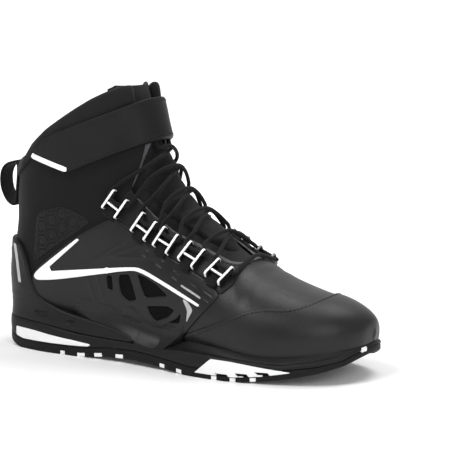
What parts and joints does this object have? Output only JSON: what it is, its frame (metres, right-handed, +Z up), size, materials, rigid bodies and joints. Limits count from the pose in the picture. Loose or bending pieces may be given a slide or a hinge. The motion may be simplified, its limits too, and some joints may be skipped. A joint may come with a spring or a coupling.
{
  "type": "laced motorcycle riding boot",
  "caption": "Ankle-high laced riding boot for the right foot, with a wrap strap that opens, a hinged heel pull loop and a padded tongue.",
  "frame": {"origin": "on the ground plane under the middle of the heel tread", "axes": "+X to the toe, +Y to the inner (medial) side, +Z up"},
  "size_m": [0.3105, 0.105, 0.204],
  "materials": {
    "outsole_rubber": "matt black moulded rubber",
    "midsole_rubber": "satin black moulded rubber",
    "white_rubber": "satin white moulded rubber",
    "shank_steel": "plain spring steel",
    "board": "pressed fibre board",
    "footbed_textile": "brushed textile over foam",
    "leather_vamp": "smooth black leather",
    "leather_quarter": "smooth black leather",
    "leather_panel": "smooth black coated leather",
    "leather_eyestay": "smooth black leather",
    "stiffener": "thermoformed sheet",
    "foam": "open-cell foam sheet",
    "ankle_cup_plastic": "soft moulded impact foam",
    "lining_textile": "black knitted lining",
    "collar_textile": "black padded textile",
    "heel_cup_plastic": "satin black moulded shell",
    "reflector": "light grey reflective film",
    "mesh_textile": "black open mesh",
    "white_trim": "white welded film",
    "guard_plastic": "embossed black moulded patch",
    "webbing": "black woven webbing",
    "keeper_white": "white moulded plastic",
    "keeper_grey": "gunmetal finish with bright edges",
    "lace_cord": "black round braided lace",
    "aglet_plastic": "black heat-shrunk tip",
    "tongue_textile": "black padded textile",
    "strap_leather": "smooth black leather strap",
    "hook_tape": "hook tape",
    "loop_tape": "loop tape"
  },
  "bodies": {
    "boot": {"outsole": "outsole_rubber", "tread_lugs": "outsole_rubber", "tread_chips": "white_rubber", "midsole": "midsole_rubber", "heel_insert": "white_rubber", "forefoot_insert": "white_rubber", "toe_insert": "white_rubber", "shank": "shank_steel", "insole_board": "board", "footbed": "footbed_textile", "vamp": "leather_vamp", "toe_cap": "leather_vamp", "toe_puff": "stiffener", "quarter_lateral": "leather_quarter", "quarter_medial": "leather_quarter", "heel_counter": "stiffener", "padding": "foam", "ankle_cups": "ankle_cup_plastic", "vamp_lining": "lining_textile", "quarter_lining": "lining_textile", "collar": "collar_textile", "backstay": "leather_quarter", "heel_cup": "heel_cup_plastic", "heel_reflector": "reflector", "side_panel_lateral": "leather_panel", "side_panel_medial": "leather_panel", "vent_mesh": "mesh_textile", "stripe": "white_trim", "panel_reflectors": "reflector", "ankle_guard": "guard_plastic", "eyestay_lateral": "leather_eyestay", "eyestay_medial": "leather_eyestay", "keeper_tabs": "webbing", "keepers_lateral": "keeper_white", "keepers_medial": "keeper_grey", "lace": "lace_cord", "aglets": "aglet_plastic", "strap_base": "strap_leather", "strap_anchor": "webbing", "strap_loop": "loop_tape", "strap_badge": "white_trim"},
    "strap": {"strap_flap": "strap_leather", "strap_hook": "hook_tape", "strap_chip": "white_trim"},
    "tongue": {"tongue": "tongue_textile", "tongue_face": "tongue_textile", "lace_band": "webbing"},
    "pull_loop": {"pull_loop": "webbing"}
  },
  "joints": [
    {"name": "strap_hinge", "type": "hinge", "parent": "boot", "child": "strap", "pos_m": [0.0827, -0.00615, 0.18], "axis": [-0.3028, 0, 0.9531], "range_deg": [0, 120]},
    {"name": "tongue_hinge", "type": "hinge", "parent": "boot", "child": "tongue", "pos_m": [0.166, 0, 0.072], "axis": [0, 1, 0], "range_deg": [-8, 0]},
    {"name": "pull_loop_hinge", "type": "hinge", "parent": "boot", "child": "pull_loop", "pos_m": [-0.0395, 0, 0.137], "axis": [0, 1, 0], "range_deg": [0, 80]}
  ]
}
